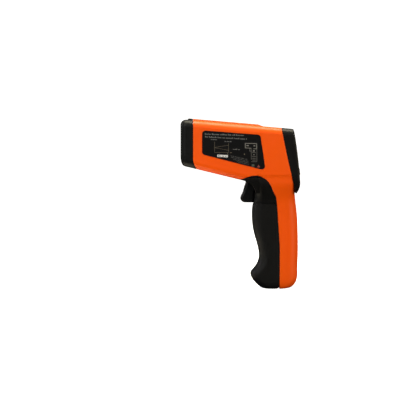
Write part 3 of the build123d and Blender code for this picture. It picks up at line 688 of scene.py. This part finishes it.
def digit(symbol, u, v, size):
    """Seven-segment digit with mitred bars, lower left corner at (u, v)."""
    width, height, thick = size
    half = thick / 2
    middle = v + height / 2

    def flat_bar(level):
        left, right = u + SEGMENT_GAP + half, u + width - SEGMENT_GAP - half
        return [
            (left, level),
            (left + half, level - half),
            (right - half, level - half),
            (right, level),
            (right - half, level + half),
            (left + half, level + half),
        ]

    def tall_bar(side, low, high):
        low, high = low + SEGMENT_GAP, high - SEGMENT_GAP
        return [
            (side, low),
            (side + half, low + half),
            (side + half, high - half),
            (side, high),
            (side - half, high - half),
            (side - half, low + half),
        ]

    bars = {
        "a": flat_bar(v + height - half),
        "g": flat_bar(middle),
        "d": flat_bar(v + half),
        "f": tall_bar(u + half, middle, v + height - half),
        "b": tall_bar(u + width - half, middle, v + height - half),
        "e": tall_bar(u + half, v + half, middle),
        "c": tall_bar(u + width - half, v + half, middle),
    }
    return [bars[key] for key in SEGMENTS[symbol]]


reading = digit("2", -10.6, 4.6, BIG_DIGIT) + digit("5", -4.6, 4.6, BIG_DIGIT)
reading += [bar(1.1, 4.6, 1.1, 1.1)] + digit("4", 2.9, 4.6, BIG_DIGIT)
reading += ring(9.3, 12.9, 0.75, 0.42)
reading += digit("3", -2.0, 0.2, SMALL_DIGIT) + digit("6", 0.5, 0.2, SMALL_DIGIT)
reading += [bar(2.9, 0.2, 0.4, 0.4)] + digit("8", 3.9, 0.2, SMALL_DIGIT)
battery_symbol = [
    bar(-11.6, 15.0, 3.2, 0.3),
    bar(-11.6, 16.3, 3.2, 0.3),
    bar(-11.6, 15.0, 0.3, 1.6),
    bar(-8.7, 15.0, 0.3, 1.6),
    bar(-11.1, 15.5, 0.7, 0.65),
    bar(-10.1, 15.5, 0.7, 0.65),
    bar(-8.4, 15.5, 0.3, 0.65),
]
laser_symbol = [[(7.4, 15.0), (9.6, 15.0), (8.5, 16.8)], bar(10.4, 15.2, 1.2, 0.3), bar(10.4, 16.0, 1.2, 0.3)]
reading += battery_symbol + laser_symbol
display_ink = ink("display_ink", rgb(26, 30, 26), 0.98, 0.06)
flat_piece("display_reading", reading, on_display(LCD_DEPTH), display_ink, "housing")

KEY_MARKS = {
    "down": [[(-11.6, -12.4), (-8.8, -12.4), (-10.2, -14.3)]],
    "mode": ring(0.0, -13.2, 1.25, 0.85),
    "up": [[(8.8, -14.0), (11.6, -14.0), (10.2, -12.1)]],
}
for name, shapes in KEY_MARKS.items():
    flat_piece(f"key_mark_{name}", shapes, on_display(-KEY_PROUD), white_ink, f"button_{name}")

# ---------------------------------------------------------------- studio

WHITE = (1.0, 1.0, 1.0)
AIM = Vector((0.0, 0.0, 0.09))
LIGHTS = (  # name, place, width, power, colour
    ("key_light", (-0.5, -0.95, 0.62), 0.7, 7.5, WHITE),
    ("top_light", (0.0, 0.05, 1.1), 0.55, 20.0, (1.0, 0.94, 0.74)),
    ("fill_light", (0.8, -0.6, 0.30), 0.8, 7.0, (1.0, 0.88, 0.64)),
    ("rear_light", (0.7, 0.8, 0.6), 0.6, 6.0, WHITE),
    ("front_light", (-1.1, 0.25, 0.55), 0.6, 5.0, WHITE),
)
WORLD_LIGHT = 0.08

SWEEP_R = 1.6  # where the sweep starts to rise
SWEEP_BEND = 0.8
SWEEP_TOP = 3.0
SWEEP_STEPS = 64
BEND_STEPS = 12
CARD_R = 0.075  # card on the paper that lights the head from below, unseen itself
CARD_CENTRE = (-0.09, -0.03, 0.1 * MM)
CARD_GLOW = (1.0, 0.8, 0.5, 1.0)
PAPER_GLOW = (1.0, 1.0, 1.0, 1.0)
GLOW_STRENGTH = 0.93


def area_light(name, place, size, power, colour):
    """Square soft box that faces the object."""
    light = bpy.data.lights.new(name, "AREA")
    light.energy = power
    light.color = colour
    light.size = size
    lamp = bpy.data.objects.new(name, light)
    lamp.location = place
    lamp.rotation_euler = (AIM - Vector(place)).to_track_quat("-Z", "Y").to_euler()
    bpy.context.scene.collection.objects.link(lamp)


def ring_of_points(work, reach, height):
    """Vertices round one circle of a paper sheet."""
    turns = [2 * math.pi * i / SWEEP_STEPS for i in range(SWEEP_STEPS)]
    return [work.verts.new((reach * math.cos(a), reach * math.sin(a), height)) for a in turns]


def paper_sheet(name, profile, centre, material):
    """White sheet turned round a centre: a disc, and then rings if the profile goes on."""
    work = bmesh.new()
    rings = [ring_of_points(work, reach, height) for reach, height in profile]
    work.faces.new(rings[0])
    for low, high in zip(rings, rings[1:]):
        for i in range(SWEEP_STEPS):
            j = (i + 1) % SWEEP_STEPS
            work.faces.new([low[i], low[j], high[j], high[i]])
    bmesh.ops.recalc_face_normals(work, faces=work.faces)
    mesh = bpy.data.meshes.new(name)
    work.to_mesh(mesh)
    work.free()
    mesh.shade_smooth()
    mesh.materials.append(material)
    sheet = bpy.data.objects.new(name, mesh)
    sheet.location = centre
    bpy.context.scene.collection.objects.link(sheet)
    return sheet


def glowing_paper(name, glow):
    """White paper that glows a little, so that the object's shadow on it stays faint."""
    s = Shader(name)
    cloud = s.spread(s.noise(40.0, 4.0), 0.3, 0.7, 0.0, 1.0)
    tint = s.mix(cloud, (0.9, 0.9, 0.9, 1.0), (0.93, 0.93, 0.93, 1.0))
    return s.finish(Base_Color=tint, Roughness=0.9, Emission_Color=glow, Emission_Strength=GLOW_STRENGTH)


bend = [0.5 * math.pi * i / BEND_STEPS for i in range(1, BEND_STEPS + 1)]
sweep_profile = [(0.5 * SWEEP_R, 0.0), (SWEEP_R, 0.0)]
sweep_profile += [(SWEEP_R + SWEEP_BEND * math.sin(a), SWEEP_BEND * (1 - math.cos(a))) for a in bend]
sweep_profile += [(SWEEP_R + SWEEP_BEND, SWEEP_TOP)]
sweep = paper_sheet("sweep", sweep_profile, (0.0, 0.0, 0.0), glowing_paper("paper", PAPER_GLOW))
sweep.visible_diffuse = False
sweep.visible_glossy = False
card = paper_sheet("bounce_card", [(CARD_R, 0.0)], CARD_CENTRE, glowing_paper("card", CARD_GLOW))
card.visible_camera = False
for name, place, size, power, colour in LIGHTS:
    area_light(name, place, size, power, colour)

world = bpy.data.worlds.new("studio")
world.use_nodes = True
background = world.node_tree.nodes["Background"]
background.inputs["Color"].default_value = (*WHITE, 1.0)
background.inputs["Strength"].default_value = WORLD_LIGHT
scene = bpy.context.scene
scene.world = world
scene.view_settings.view_transform = "Standard"
scene.view_settings.look = "None"

# ---------------------------------------------------------------- camera

ELEVATION = math.radians(2.5)
DISTANCE = 1.6
TARGET = Vector((-0.0347, 0.0, 0.0757))
FOCAL_LENGTH, SENSOR_WIDTH = 167.0, 36.0
camera_data = bpy.data.cameras.new("camera")
camera_data.lens = FOCAL_LENGTH
camera_data.sensor_width = SENSOR_WIDTH
camera = bpy.data.objects.new("camera", camera_data)
camera.location = TARGET + DISTANCE * Vector((0.0, -math.cos(ELEVATION), math.sin(ELEVATION)))
camera.rotation_euler = (TARGET - camera.location).to_track_quat("-Z", "Y").to_euler()
scene.collection.objects.link(camera)
scene.camera = camera
